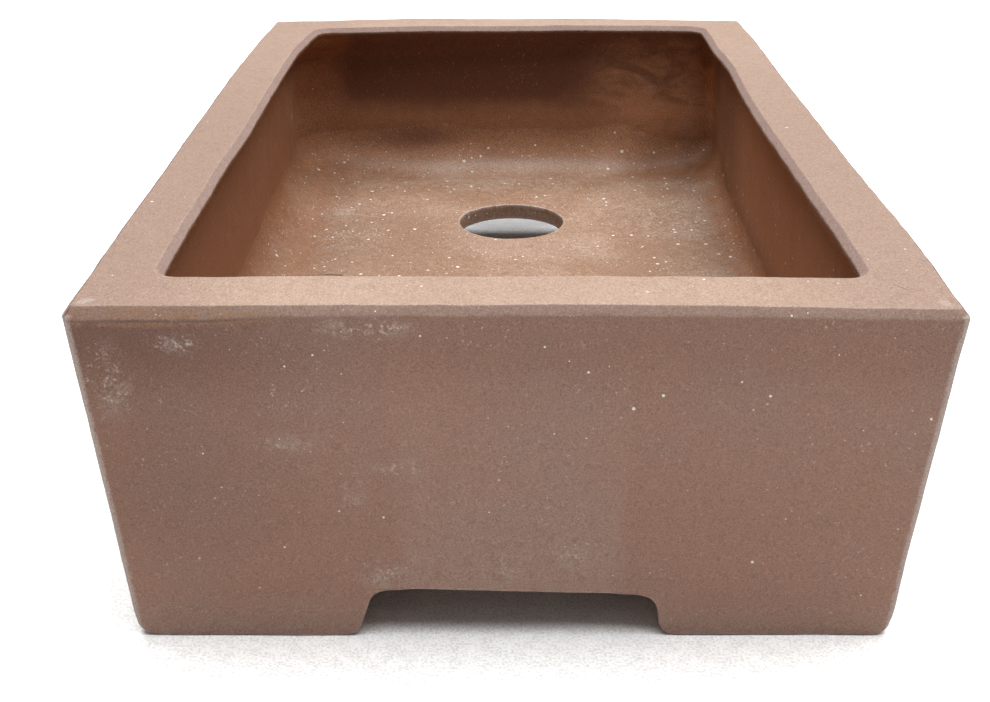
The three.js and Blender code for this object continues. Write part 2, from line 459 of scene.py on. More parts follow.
def corner_wear_and_highlight(plan, from_mitre):
    """The pot's upright outer corners get a painted highlight, partly wear: 2 there."""
    return np.where(np.abs(plan - OUTER_CORNER_RADIUS) < 0.1, 2 - 2 * smooth(from_mitre, 0.5, 1.9), 0)


def grid_faces(rows, columns, start_cap=True, end_cap=True):
    """Quads of a tube of closed sections, and the faces that close its ends."""
    i, j = np.meshgrid(np.arange(rows - 1), np.arange(columns), indexing="ij")
    k = (j + 1) % columns
    quads = np.stack([i * columns + j, i * columns + k, (i + 1) * columns + k, (i + 1) * columns + j], -1)
    faces = quads.reshape(-1, 4).tolist()
    if start_cap:
        faces.append(list(range(columns))[::-1])
    if end_cap:
        faces.append([(rows - 1) * columns + c for c in range(columns)])
    return faces


def make_swept(name, facing, section_at, slot):
    points, wears_and_highlights = sweep(facing, stations(facing), section_at)
    faces = grid_faces(*wears_and_highlights.shape)
    make_piece(name, points.reshape(-1, 3), faces, wears_and_highlights.ravel(), slot)


def steps_for(length):
    return max(1, round(length / STEP))


# -------- rim and walls


def coil_radius_at(facing, share):
    """Plan radius of the upright inner corner at the end of the run that share lies towards."""
    return CORNER_COIL_RADIUS[corner_key(facing, neighbour_at(facing, share))]


def outer_bevel(facing, run):
    """How far down the outer bevel reaches. At the front it was cut deeper on the left."""
    if facing != "front":
        return RIM_BEVEL
    lumps = 0.18 * math.sin(run / 3.1) + 0.12 * math.sin(run / 1.3 + 1)
    return RIM_BEVEL + float(smooth(run, -48, -72)) * (0.8 + lumps)


def lip_section(facing, share):
    outer = FACINGS[facing][0]
    opening = outer - LIP_WIDTH
    wall = outer - WALL_THICKNESS
    corner = coil_radius_at(facing, share)
    mouth = MOUTH_CORNER_RADIUS
    drop = POT_HEIGHT - outer_bevel(facing, wedge_run(share, facing))
    return outline([
        (outer - inset(LIP_BOTTOM), LIP_BOTTOM, 0, OUTER_CORNER_RADIUS, 0, steps_for(12)),
        (outer - inset(drop), drop, 0.45, OUTER_CORNER_RADIUS, 0.25, 3),
        (outer - RIM_BEVEL, POT_HEIGHT, 0.4, OUTER_CORNER_RADIUS - 0.6, 0.5, steps_for(14)),
        (opening + INNER_BEVEL, POT_HEIGHT, 0.35, mouth + 1.0, 0.5, 3),
        (opening, POT_HEIGHT - INNER_BEVEL, 0.35, mouth, 1.0, 2),
        (opening, POT_HEIGHT - LIP_EDGE_DEPTH, 0.4, mouth, 0.0, 6),
        (wall - 0.6, LIP_BOTTOM + 4.2, 3.0, 0.3 * mouth + 0.7 * corner, 0, 3),
        (wall, LIP_BOTTOM, 0, corner, 0, 2),
    ])


def wedge_run(share, facing):
    return share * (FACINGS[facing][0] + mitre_shift(facing))


# Where each notch between two feet starts and stops: the foot's end on the ground, the end of
# its flank under the wall, and how steeply the flank stands, in degrees. By facing and
# neighbour.
FLANKS = {
    ("front", "left"): (41.6, 30.2, 72),
    ("front", "right"): (40.3, 29.4, 84),
    ("back", "left"): (40.6, 29.8, 74),
    ("back", "right"): (41.2, 30.4, 70),
    ("left", "front"): (84.8, 73.9, 72),
    ("left", "back"): (84.2, 73.4, 78),
    ("right", "front"): (84.4, 73.6, 76),
    ("right", "back"): (85.0, 74.0, 70),
}
NOTCH_RISE = {"front": (0.9, -0.3), "back": (-0.2, 0.5), "left": (0.3, -0.3), "right": (0.0, 0.4)}


def foot_top(facing, run):
    """Height of the wall's lower edge, which isn't quite level."""
    minus, plus = NOTCH_RISE[facing]
    return FOOT_HEIGHT + minus + (plus - minus) * smooth(run, -30, 30)


def wall_section(facing, share):
    outer = FACINGS[facing][0]
    wall = outer - WALL_THICKNESS
    run = wedge_run(share, facing)
    notch_end = FLANKS[facing, neighbour_at(facing, share)][1]
    in_notch = smooth(abs(run), notch_end + 0.5, notch_end - 5.0)
    foot = foot_top(facing, run)
    edge = 0.02 + 1.1 * in_notch
    return outline([
        (outer - inset(foot), foot, edge, OUTER_CORNER_RADIUS, 1.0 * in_notch, steps_for(64)),
        (outer - inset(LIP_BOTTOM), LIP_BOTTOM, 0, OUTER_CORNER_RADIUS, 0, 2),
        (wall, LIP_BOTTOM, 0, 0.0, 0, steps_for(48)),
        (wall, FLOOR_TOP, 0, 0.0, 0, 2),
        (wall, FLOOR_UNDERSIDE, 0, 0.0, 0, steps_for(10)),
        (wall, foot, edge, 0.0, 0.6 * in_notch, 4),
    ])


# -------- coils


def floor_coil_radius(facing, share):
    """A smeared coil's radius wanders, and at a corner it agrees with its neighbour's."""
    run = wedge_run(share, facing)
    wander = 0.07 * math.sin(run / 17 + len(facing)) + 0.05 * math.sin(run / 7.3)
    own = FLOOR_COIL_RADIUS[facing] * (1 + wander)
    shared = corner_floor_radius(*corner_key(facing, neighbour_at(facing, share)))
    to_mitre = FACINGS[facing][0] + mitre_shift(facing) - abs(run)
    return shared + (own - shared) * float(smooth(to_mitre, 14, 48))


def corner_floor_radius(end, side):
    return (FLOOR_COIL_RADIUS[end] + FLOOR_COIL_RADIUS[side]) / 2


def floor_coil_section(facing, share):
    wall = FACINGS[facing][0] - WALL_THICKNESS
    radius = floor_coil_radius(facing, share)
    corner = coil_radius_at(facing, share)
    rows = []
    for i in range(FLOOR_ARC_STEPS + 1):
        share_of_arc = i / FLOOR_ARC_STEPS
        angle = math.pi / 2 * share_of_arc
        depth = radius * (1 - math.cos(angle)) - SINK
        up = FLOOR_TOP + radius * (1 - math.sin(angle)) - SINK
        rows.append([wall - depth, up, corner + FLOOR_COIL_CORNER_GAIN * share_of_arc, 0])
    hidden_out, hidden_up = wall + SINK, FLOOR_TOP - 2 * SINK
    rows.append([wall - radius, hidden_up, corner + FLOOR_COIL_CORNER_GAIN, 0])
    rows.append([hidden_out, hidden_up, corner, 0])
    rows.append([hidden_out, FLOOR_TOP + radius, corner, 0])
    return np.array(rows, float)


def make_corner_coil(end, side):
    radius = CORNER_COIL_RADIUS[end, side]
    end_sign = -1 if end == "front" else 1
    side_sign = -1 if side == "left" else 1
    corner_x = HALF_WIDTH - WALL_THICKNESS
    corner_y = HALF_LENGTH - WALL_THICKNESS
    plan = []
    for i in range(CORNER_ARC_STEPS + 1):
        angle = math.pi / 2 * i / CORNER_ARC_STEPS
        plan.append((radius * (1 - math.cos(angle)), radius * (1 - math.sin(angle))))
    plan[0] = (-SINK, radius)
    plan[-1] = (radius, -SINK)
    plan.append((-SINK, -SINK))
    bottom = FLOOR_TOP + corner_floor_radius(end, side) - CORNER_COIL_DIP
    heights = np.linspace(bottom, LIP_BOTTOM + SINK, steps_for(LIP_BOTTOM - bottom) + 1)
    points = [
        (side_sign * (corner_x - across), end_sign * (corner_y - along), height)
        for height in heights
        for across, along in plan
    ]
    faces = grid_faces(len(heights), len(plan))
    name = f"clay_corner_coil_{end}_{side}"
    make_piece(name, np.array(points, float), faces, np.zeros(len(points)), "clay_coil")


# -------- floor


def make_floor():
    """The slab with its two drain holes: one half fanned out from its hole, then mirrored."""
    x_edge = HALF_WIDTH - WALL_THICKNESS
    y_edge = HALF_LENGTH - WALL_THICKNESS
    across = np.linspace(-x_edge, x_edge, steps_for(2 * x_edge) + 1)
    along = np.linspace(0, y_edge, steps_for(y_edge) + 1)
    rim = np.array(
        [(x, 0) for x in across[:-1]]
        + [(x_edge, y) for y in along[:-1]]
        + [(x, y_edge) for x in across[:0:-1]]
        + [(-x_edge, y) for y in along[:0:-1]]
    )
    centre = np.array(DRAIN_HOLE_CENTRE)
    away = rim - centre
    far = np.linalg.norm(away, axis=1)
    away /= far[:, None]

    # Each ring is (share of the way from the hole to the edge, widening of the hole, height, wear and
    # painted highlight).
    top_steps = 50
    underside_steps = 15
    edge, edge_middle = 0.7, 0.2
    rings = [(1.0, 0, FLOOR_UNDERSIDE, 0)]
    rings += [(s, 0, FLOOR_UNDERSIDE, 0) for s in np.linspace(1, 0, underside_steps + 1)[1:-1]]
    rings += [
        (0, edge, FLOOR_UNDERSIDE, 0.6),
        (0, edge_middle, FLOOR_UNDERSIDE + edge_middle, 1),
        (0, 0, FLOOR_UNDERSIDE + edge, 0.6),
    ]
    rings += [(0, 0, z, 0) for z in np.linspace(FLOOR_UNDERSIDE + edge, FLOOR_TOP - edge, 6)[1:-1]]
    rings += [
        (0, 0, FLOOR_TOP - edge, 0.6),
        (0, edge_middle, FLOOR_TOP - edge_middle, 1),
        (0, edge, FLOOR_TOP, 0.6),
    ]
    rings += [(s, 0, FLOOR_TOP, 0) for s in np.linspace(0, 1, top_steps + 1)[1:] ** 1.1]

    points, wears_and_highlights = [], []
    for share, widening, height, wear_and_highlight in rings:
        distance = DRAIN_HOLE_RADIUS + widening + share * (far - DRAIN_HOLE_RADIUS)
        flat = centre + away * distance[:, None]
        points.append(np.column_stack([flat, np.full(len(flat), height)]))
        wears_and_highlights.append(np.full(len(flat), wear_and_highlight))
    points, wears_and_highlights = np.concatenate(points), np.concatenate(wears_and_highlights)

    columns = len(rim)
    faces = grid_faces(len(rings), columns, start_cap=False, end_cap=False)
    last = (len(rings) - 1) * columns
    seam = len(across) - 1  # the columns along the middle line, where the two halves join
    faces += [[last + c, last + (c + 1) % columns, (c + 1) % columns, c] for c in range(seam, columns)]
    mirrored = points * np.array([1, -1, 1])
    both = np.concatenate([points, mirrored])
    faces += [[len(points) + v for v in face[::-1]] for face in faces]
    make_piece("clay_floor_slab", both, faces, np.concatenate([wears_and_highlights, wears_and_highlights]), "clay_floor")


# -------- feet


def flank_line(ground_end, top_end, turn, height):
    """The run and height of a foot's lower edge, from the ground up to the wall's edge.

    It's a bottom rounding, a straight flank at an angle of turn, and a hollow under the wall.
    """
    angle = math.radians(turn)
    width = ground_end - top_end
    radii = (width * math.sin(angle) - height * math.cos(angle)) / (1 - math.cos(angle))
    bottom, top = 0.42 * radii, 0.58 * radii
    line = []
    for t in np.linspace(0, angle, 9)[1:]:
        line.append((ground_end - bottom * math.sin(t), bottom * (1 - math.cos(t))))
    for t in np.linspace(angle, 0, 11):
        line.append((top_end + top * math.sin(t), height - top * (1 - math.cos(t))))
    return line


def foot_leg(facing, neighbour):
    """Sections from the mitre to the notch: points, and wear and painted highlights, by station."""
    outer, ends, place = FACINGS[facing]
    sign = -1 if neighbour == ends[0] else 1
    ground_end, top_end, turn = FLANKS[facing, neighbour]
    reach_out = outer + mitre_shift(facing)
    ground_reach = reach_out - WALL_LEAN
    top = float(foot_top(facing, sign * ground_end))

    line = [(ground_reach - e, 0.0) for e in np.arange(0, FINE_LENGTH, FINE_STEP)]
    flat_from = ground_reach - FINE_LENGTH
    flat_steps = steps_for(flat_from - ground_end)
    line += [(run, 0.0) for run in np.linspace(flat_from, ground_end, flat_steps + 1)]
    line += flank_line(ground_end, top_end, turn, top)

    inner = outer - WALL_LEAN - FOOT_THICKNESS
    wall = outer - WALL_THICKNESS
    points, wears_and_highlights = [], []
    for run, low in line:
        low = min(low, top - 0.03)
        room = top - low
        edge = min(0.9, 0.8 * room)
        rows = outline([
            (outer - inset(low), low, edge, OUTER_CORNER_RADIUS, 1.0, 9),
            (outer - inset(top), top, 0, OUTER_CORNER_RADIUS, 0, 1),
            (wall, top, 0, 0.0, 0, 1),
            (wall, FLOOR_UNDERSIDE, 0, 0.0, 0, 1),
            (inner, FLOOR_UNDERSIDE, 0, 0.0, 0, 10),
            (inner, low, 1.2, 0.0, 0.8, 7),
        ])
        out, up, plan, wear_and_highlight = rows.T
        reach = out + mitre_shift(facing)
        length = reach - plan * (1 - math.pi / 4)
        from_mitre = ground_reach - run
        squared = smooth(from_mitre, 0, 26)
        back = from_mitre + squared * (length - ground_reach)
        new_out, new_run = travel(out, reach, plan, length - back)
        points.append(np.stack([*place(new_out, sign * new_run), up], 1))
        wears_and_highlights.append(np.maximum(wear_and_highlight, corner_wear_and_highlight(plan, back)))
    return np.array(points), np.array(wears_and_highlights)


def make_foot(end, side):
    points, wears_and_highlights, faces = [], [], []
    count = 0
    for facing, neighbour in ((end, side), (side, end)):
        leg, wear_and_highlight = foot_leg(facing, neighbour)
        rows, columns = wear_and_highlight.shape
        faces += [[count + v for v in face] for face in grid_faces(rows, columns, start_cap=False)]
        points.append(leg.reshape(-1, 3))
        wears_and_highlights.append(wear_and_highlight.ravel())
        count += rows * columns
    name = f"clay_foot_{end}_{side}"
    make_piece(name, np.concatenate(points), faces, np.concatenate(wears_and_highlights), "clay_foot")


# -------- materials


class Shader:
    """Short names for making shader nodes. Every texture's size is in millimetres."""

    def __init__(self, name, made_at=True):
        self.material = bpy.data.materials.new(name)
        self.material.use_nodes = True
        self.tree = self.material.node_tree
        self.tree.nodes.clear()
        if made_at:
            self.mm = self.add("ShaderNodeAttribute", {"attribute_name": "made_at"}).outputs["Vector"]
        else:
            place = self.add("ShaderNodeTexCoord").outputs["Object"]
            self.mm = self.vector("SCALE", place, scale=1 / METRES_PER_MM)
        axes = self.add("ShaderNodeSeparateXYZ", Vector=self.mm)
        self.x, self.y, self.z = axes.outputs

    def add(self, kind, settings=(), **inputs):
        node = self.tree.nodes.new(kind)
        for key, value in dict(settings).items():
            setattr(node, key, value)
        for key, value in inputs.items():
            self.feed(node.inputs[key.replace("_", " ")], value)
        return node

    def feed(self, socket, value):
        if isinstance(value, bpy.types.NodeSocket):
            self.tree.links.new(value, socket)
        else:
            socket.default_value = value

    def math(self, operation, a, b=0.0, c=0.0):
        node = self.add("ShaderNodeMath", {"operation": operation})
        for socket, value in zip(node.inputs, (a, b, c)):
            self.feed(socket, value)
        return node.outputs[0]

    def times(self, *values):
        result = values[0]
        for value in values[1:]:
            result = self.math("MULTIPLY", result, value)
        return result

    def plus(self, *values):
        result = values[0]
        for value in values[1:]:
            result = self.math("ADD", result, value)
        return result

    def flip(self, value):
        return self.math("SUBTRACT", 1.0, value)

    def centred(self, noise):
        """Noise from 0 to 1, moved to -0.5 to 0.5."""
        return self.math("SUBTRACT", noise, 0.5)

    def vector(self, operation, a, b=(0.0, 0.0, 0.0), scale=1.0):
        node = self.add("ShaderNodeVectorMath", {"operation": operation})
        self.feed(node.inputs[0], a)
        if operation == "SCALE":
            self.feed(node.inputs["Scale"], scale)
        else:
            self.feed(node.inputs[1], b)
        return node.outputs["Value" if operation == "LENGTH" else "Vector"]

    def step(self, value, low, high):
        """0 at low, 1 at high, clamped, with soft ends. low may be the larger one."""
        node = self.add("ShaderNodeMapRange", {"interpolation_type": "SMOOTHSTEP"})
        falling = float(low > high)
        settings = (value, min(low, high), max(low, high), falling, 1.0 - falling)
        for socket, setting in zip(node.inputs, settings):
            self.feed(socket, setting)
        return node.outputs["Result"]

    def stretched(self, along, turn=0.0):
        """The place in millimetres, after a turn about z, divided by along on each axis."""
        about_z = {"rotation_type": "Z_AXIS"}
        turned = self.add("ShaderNodeVectorRotate", about_z, Vector=self.mm, Angle=turn)
        return self.vector("DIVIDE", turned.outputs[0], along)

    def noise(self, size, detail=2.0, rough=0.5, twist=0.0, at=None):
        node = self.add(
            "ShaderNodeTexNoise", {"noise_dimensions": "3D"},
            Vector=self.mm if at is None else at,
            Scale=1.0 / size, Detail=detail, Roughness=rough, Distortion=twist,
        )
        return node.outputs["Fac"]

    def cells(self, size, offset=(0.0, 0.0, 0.0)):
        """Distance to the nearest of scattered points, in cell sizes, and a random number for each."""
        shifted = self.vector("ADD", self.mm, offset)
        node = self.add("ShaderNodeTexVoronoi", Vector=shifted, Scale=1.0 / size)
        lot = self.add("ShaderNodeSeparateColor", Color=node.outputs["Color"])
        return node.outputs["Distance"], lot.outputs[0], lot.outputs[1]

    def near(self, centre, radii, soft=0.6):
        """1 at centre, fading to 0 on an ellipsoid with these radii."""
        away = self.vector("DIVIDE", self.vector("SUBTRACT", self.mm, centre), radii)
        return self.step(self.vector("LENGTH", away), 1.0, 1.0 - soft)

    def mix(self, amount, a, b):
        node = self.add("ShaderNodeMix", {"data_type": "RGBA"})
        self.feed(node.inputs[0], amount)
        for socket, value in ((node.inputs[6], a), (node.inputs[7], b)):
            self.feed(socket, (*value, 1.0) if isinstance(value, tuple) else value)
        return node.outputs[2]

    def lightened(self, colour, by):
        """The colour, lighter by this share of itself, or darker where the share is negative."""
        return self.vector("SCALE", colour, scale=self.plus(1.0, by))

    def finish(self, colour, roughness, height, specular=0.35):
        """Joins everything up. height is in millimetres."""
        relief = self.add("ShaderNodeBump", Strength=1.0, Distance=METRES_PER_MM, Height=height)
        surface = self.add(
            "ShaderNodeBsdfPrincipled",
            Base_Color=colour, Roughness=roughness, Normal=relief.outputs["Normal"],
        )
        surface.inputs["Specular IOR Level"].default_value = specular
        self.add("ShaderNodeOutputMaterial", Surface=surface.outputs[0])


# Colours, as linear red, green and blue.
OUTSIDE_BROWN = (0.214, 0.117, 0.083)
OUTSIDE_GREY = (0.204, 0.119, 0.089)
OUTSIDE_DARK = (0.100, 0.043, 0.028)
RIM_BROWN = (0.275, 0.180, 0.128)
RIM_DUSTY = (0.302, 0.207, 0.154)
RIM_SHADE = (0.212, 0.134, 0.099)
BEVEL_PINK = (0.234, 0.152, 0.127)
# Painted shade on the outer bevels.
BEVEL_OUTER_SHADED = (0.170, 0.105, 0.080)
INSIDE_BROWN = (0.204, 0.112, 0.066)
INSIDE_DUSTY = (0.250, 0.158, 0.108)
COVE_WARM = (0.300, 0.140, 0.070)
# Painted sheen on the back cove, partly dust.
COVE_SHEEN_PALE = (0.390, 0.272, 0.205)
INSIDE_ORANGE = (0.235, 0.084, 0.028)
INSIDE_DARK = (0.128, 0.045, 0.021)
EDGE_PALE = (0.330, 0.260, 0.225)
CORNER_PALE = (0.300, 0.245, 0.220)
GRAIN_PALE = (0.430, 0.330, 0.270)
GRAIN_DARK = (0.080, 0.043, 0.030)
CHALK = (0.340, 0.310, 0.275)
SALT = (0.620, 0.590, 0.540)
RUST = (0.180, 0.092, 0.052)
TABLE_SHADED = (0.70, 0.71, 0.70)
TABLE_WHITE = (0.98, 0.98, 0.98)

# Places with a look of their own, and places of painted sheen and shadow: the centre and radii of an
# ellipsoid, in millimetres.
LEFT_FLOOR = ((-48, 58, 29), (48, 60, 8))
# Paler swirls in the damp stain and painted lip shadow.
PALER_DAMP_AND_SHADOW = ((68, 150, 66), (46, 20, 30))
DAMP_RING = ((-38, 142, 43), (38, 20, 9))
# Where the painted sheen lies along the back cove, partly dust.
COVE_PAINTED_SHEEN = ((6, 134, 32), (80, 18, 4.6))
RUSTY_BEVEL = ((-80, -162, 88.6), (36, 6, 2.9))
# A painted shadow on the table behind the back notch, seen through the drain hole.
TABLE_PAINTED_SHADOW = ((2, 164, 0), (44, 19, 10))

# Pale bloom on the clay, left by salts in the water: centre, radii and strength of each cloud.
BLOOM_CLOUDS = (
    ((-52, -159, 56), (12, 12, 5), 0.5),
    ((-38, -159, 43), (5, 12, 9), 0.7),
    ((-27, -160, 49), (9, 12, 4), 0.7),
    ((-31, -157, 18), (9, 12, 6), 1.0),
    ((-3, -157, 21), (8, 12, 8), 0.6),
    ((14, -157, 24), (7, 12, 6), 0.5),
    ((-32, -162, 86), (16, 5, 4), 1.0),
    ((-75, -161, 82), (8, 8, 4), 1.0),
    ((-91, -160, 73), (8, 9, 14), 0.8),
    ((60, 148, 62), (26, 9, 16), 0.3),
    ((80, 149, 50), (10, 9, 26), 0.4),
    ((-84, 130, 74), (6, 12, 16), 0.5),
    ((-64, 90, 29), (7, 9, 4), 1.0),
    ((-58, 60, 29), (22, 34, 4), 0.4),
    ((62, 80, 29), (26, 38, 4), 0.6),
    ((4, 127, 29), (58, 13, 5), 0.5),
    ((-88, 122, 58), (4, 7, 22), 0.6),
    ((88, 62, 60), (4, 9, 12), 0.35),
    ((88, -8, 58), (4, 9, 10), 0.35),
)

# White grains, in two sizes: their spacing, the shift of their pattern, and the share of
# places that stay empty.
SALT_LAYERS = (
    (3.4, (31.0, 7.0, 12.0), 0.90),
    (1.5, (3.0, 17.0, 5.0), 0.93),
)

# Scratches: the turn of each set about z, in radians, and the shift of its pattern.
SCRATCH_SETS = ((0.35, 3.0), (1.25, 11.0), (2.3, 23.0))
SCRATCH_STRETCH = (30.0, 0.4, 2.5)


class Clay(Shader):
    """A shader for fired clay, with the textures, zones and marks that its layers share.

    Zones and marks go from 0 to 1. Zones come from the place on the ideal pot, so pieces match.
    """

    def __init__(self, name):
        super().__init__(name)
        self.wide_x, self.wide_y = self.math("ABSOLUTE", self.x), self.math("ABSOLUTE", self.y)
        self.find_textures()
        self.find_zones()
        self.find_marks()

    def find_textures(self):
        """Noise, from large to small."""
        self.cloud = self.noise(34, 3, 0.55)
        self.mottle = self.noise(8, 4, 0.6, 0.4)
        self.patch = self.noise(3.2, 4, 0.62)
        self.fleck = self.noise(1.15, 4, 0.72)
        self.grain = self.noise(0.40, 3, 0.75)
        self.wander = self.centred(self.mottle)

    def find_zones(self):
        within_walls = self.times(self.step(self.wide_x, 92, 90), self.step(self.wide_y, 154, 152))
        self.inside = self.times(within_walls, self.step(self.z, 24, 26))
        self.under_lip = self.times(self.inside, self.step(self.z, 89.25, 88.95))
        self.on_floor = self.times(self.under_lip, self.step(self.z, 52, 34))
        self.end_wall = self.times(self.under_lip, self.step(self.wide_y, 124, 147))

        # The rim's flat top, and its bevel, which reaches lower at the front's left end.
        self.rim_top = self.step(self.z, 90.68, 90.92)
        self.at_left_front = self.times(self.step(self.x, -46, -72), self.step(self.y, -150, -158))
        bevel_foot = self.plus(LEAN_TOP - 0.05, self.times(self.at_left_front, -0.9))
        self.above_foot = self.math("SUBTRACT", self.z, bevel_foot)
        off_top = self.times(self.flip(self.rim_top), self.flip(self.under_lip))
        self.bevel = self.times(self.step(self.above_foot, -0.1, 0.15), off_top)

    def find_marks(self):
        # Bloom, in clouds. Pale flecks and white grains gather in it, and in drifts of their own.
        bloom = 0.0
        for centre, radii, strength in BLOOM_CLOUDS:
            bloom = self.plus(bloom, self.times(self.near(centre, radii, 0.9), strength))
        self.bloom = self.math("MINIMUM", bloom, 1.0)
        self.drifts = self.plus(self.step(self.noise(17, 3, 0.6), 0.4, 0.7), self.times(self.bloom, 2.3))

        # Wear and painted highlight: 1 on worn and lit edges, and up to 2 at the upright outer corners.
        self.wear_and_highlight = self.add("ShaderNodeAttribute", {"attribute_name": "wear_and_highlight"}).outputs["Fac"]
        self.edge = self.math("MINIMUM", self.wear_and_highlight, 1.0)

        # White grains, more and larger on the floor.
        self.salt = 0.0
        ragged = self.times(self.centred(self.fleck), 0.16)
        for spacing, shift, empty in SALT_LAYERS:
            far, lot, swell = self.cells(spacing, shift)
            size = self.plus(0.045, self.times(swell, swell, 0.075), self.times(self.on_floor, 0.080))
            chance = self.plus(lot, self.times(self.drifts, 0.07), self.times(self.on_floor, 0.13))
            within = self.step(self.math("SUBTRACT", far, self.plus(size, ragged)), 0.03, -0.02)
            spot = self.times(within, self.step(chance, empty, empty + 0.03))
            self.salt = self.math("MAXIMUM", self.salt, spot)

        self.scratch = 0.0
        for turn, shift in SCRATCH_SETS:
            place = self.vector("ADD", self.stretched(SCRATCH_STRETCH, turn), (shift,) * 3)
            line = self.step(self.noise(1.0, 1.0, 0.4, at=place), 0.740, 0.80)
            self.scratch = self.math("MAXIMUM", self.scratch, line)


def paint_outside(s):
    """Lighter low down and darker towards the rim and the front's left end: painted light and shade in
    part, the clay's own tone in part.
    """
    colour = s.mix(s.step(s.cloud, 0.38, 0.66), OUTSIDE_BROWN, OUTSIDE_GREY)
    # Lighter low down: painted bounce light from the table, partly dust.
    colour = s.lightened(colour, s.times(s.step(s.z, 38, 6), 0.12))
    # Darker towards the rim and the left: painted shade in part, the clay's own tone in part.
    to_rim = s.step(s.plus(s.z, s.times(s.wander, 14.0)), 62, 86)
    to_left = s.step(s.plus(s.x, s.times(s.wander, 30.0)), -28, -88)
    low_left = s.plus(0.06, s.times(s.step(s.z, 8, 48), 0.30), s.times(to_rim, 0.22))
    shadow = s.plus(s.times(to_rim, 0.30), s.times(to_left, low_left))
    return s.mix(s.math("MINIMUM", shadow, 1.0), colour, OUTSIDE_DARK)


def paint_inside(s):
    """Tan floor, orange-brown walls, a painted sheen on the back cove, painted light on the right wall
    towards the front, and a dark band high on the back wall: painted shadow of the lip, partly a damp
    stain.
    """
    dusty = s.step(s.plus(s.cloud, s.times(s.patch, 0.3)), 0.5, 0.85)
    colour = s.mix(dusty, INSIDE_BROWN, INSIDE_DUSTY)
    left_floor = s.near(*LEFT_FLOOR, 0.8)
    colour = s.mix(left_floor, colour, INSIDE_BROWN)
    colour = s.lightened(colour, s.times(left_floor, -0.12))

    off_floor = s.step(s.z, 31, 46)
    left_x = s.plus(s.x, s.times(s.wander, 18.0))
    left_wall = s.times(s.under_lip, s.step(left_x, -62, -78))
    left_strength = s.plus(0.40, s.times(off_floor, 0.45))
    colour = s.mix(s.times(left_wall, left_strength), colour, INSIDE_ORANGE)
    right_x = s.plus(s.x, s.times(s.wander, 16.0))
    right_wall = s.times(s.under_lip, s.step(right_x, 76, 88))
    colour = s.mix(s.times(right_wall, 0.75), colour, INSIDE_ORANGE)
    # Painted light: the right wall is lighter towards the front, above the floor.
    right_painted_light = s.times(right_wall, off_floor, s.step(s.y, 104, 50), 0.36)
    colour = s.lightened(colour, right_painted_light)

    cove_z = s.plus(s.z, s.times(s.wander, 8.0))
    back_cove = s.times(s.under_lip, s.step(cove_z, 31, 38), s.step(s.y, 118, 136))
    colour = s.mix(s.times(s.end_wall, 0.55), colour, INSIDE_ORANGE)
    colour = s.mix(s.times(back_cove, s.step(s.z, 66, 54), 0.85), colour, COVE_WARM)

    # Long drifts and tight swirls, each between about -0.5 and 0.5.
    drift = s.centred(s.noise(1.0, 3, 0.5, 0.4, at=s.stretched((60.0, 26.0, 13.0))))
    swirl = s.centred(s.noise(1.0, 4, 0.6, 1.6, at=s.stretched((24.0, 20.0, 12.0))))
    colour = paint_damp_and_lip_shadow(s, colour, drift, swirl)
    # A painted sheen along the back cove, partly dust, broken by the drifts.
    broken = s.plus(0.8, s.times(drift, 0.6))
    painted_sheen = s.times(s.near(*COVE_PAINTED_SHEEN, 0.8), s.under_lip, broken)
    colour = s.mix(painted_sheen, colour, COVE_SHEEN_PALE)
    return s.lightened(colour, s.times(s.centred(s.patch), 0.45))


def paint_damp_and_lip_shadow(s, colour, drift, swirl):
    """A dark band high on the back wall, painted shadow of the lip and partly a damp stain: paler in
    swirls at the right, with a dark ring low on the left.
    """
    damp_and_shadow_z = s.plus(s.z, s.times(drift, 16.0), s.times(s.wander, 5.0))
    damp_and_shadow_x = s.plus(s.x, s.times(s.wander, 10.0))
    at_back = s.times(s.end_wall, s.step(s.y, 90, 110), s.step(damp_and_shadow_x, -76, -64))
    in_swirls = s.plus(0.50, s.times(s.step(swirl, -0.16, 0.06), 0.6))
    paler = s.times(s.near(*PALER_DAMP_AND_SHADOW, 0.6), in_swirls)
    # Painted shadow of the lip, partly a damp stain.
    damp_and_lip_shadow = s.times(at_back, s.step(damp_and_shadow_z, 50, 65), s.plus(0.90, s.times(paler, -0.88)))
    colour = s.lightened(colour, s.times(paler, 0.45))
    colour = s.mix(damp_and_lip_shadow, colour, INSIDE_DARK)
    ring = s.times(s.near(*DAMP_RING, 0.8), s.plus(0.80, s.times(drift, 1.4)))
    return s.mix(ring, colour, INSIDE_DARK)


def paint_rim(s, colour):
    """Lighter in the middle of its ends, browner at its corners and along the left: painted highlight and
    shade in part, dust and the rim's own tone in part.
    """
    dusty = s.step(s.plus(s.times(s.cloud, 0.5), s.times(s.patch, 0.5)), 0.35, 0.65)
    rim = s.mix(dusty, RIM_BROWN, RIM_DUSTY)
    # Darker towards the corners: painted shade in part, which leaves a painted highlight in the middle of
    # each end.
    near_end = s.step(s.y, 130, -40)
    on_left = s.step(s.x, 0, -60)
    strength = s.plus(0.25, s.times(near_end, 0.45), s.times(on_left, 0.2))
    shade = s.times(s.step(s.wide_x, 48, 88), strength)
    rim = s.mix(s.times(shade, s.plus(0.75, s.times(s.cloud, 0.5))), rim, RIM_SHADE)
    return s.mix(s.rim_top, colour, rim)


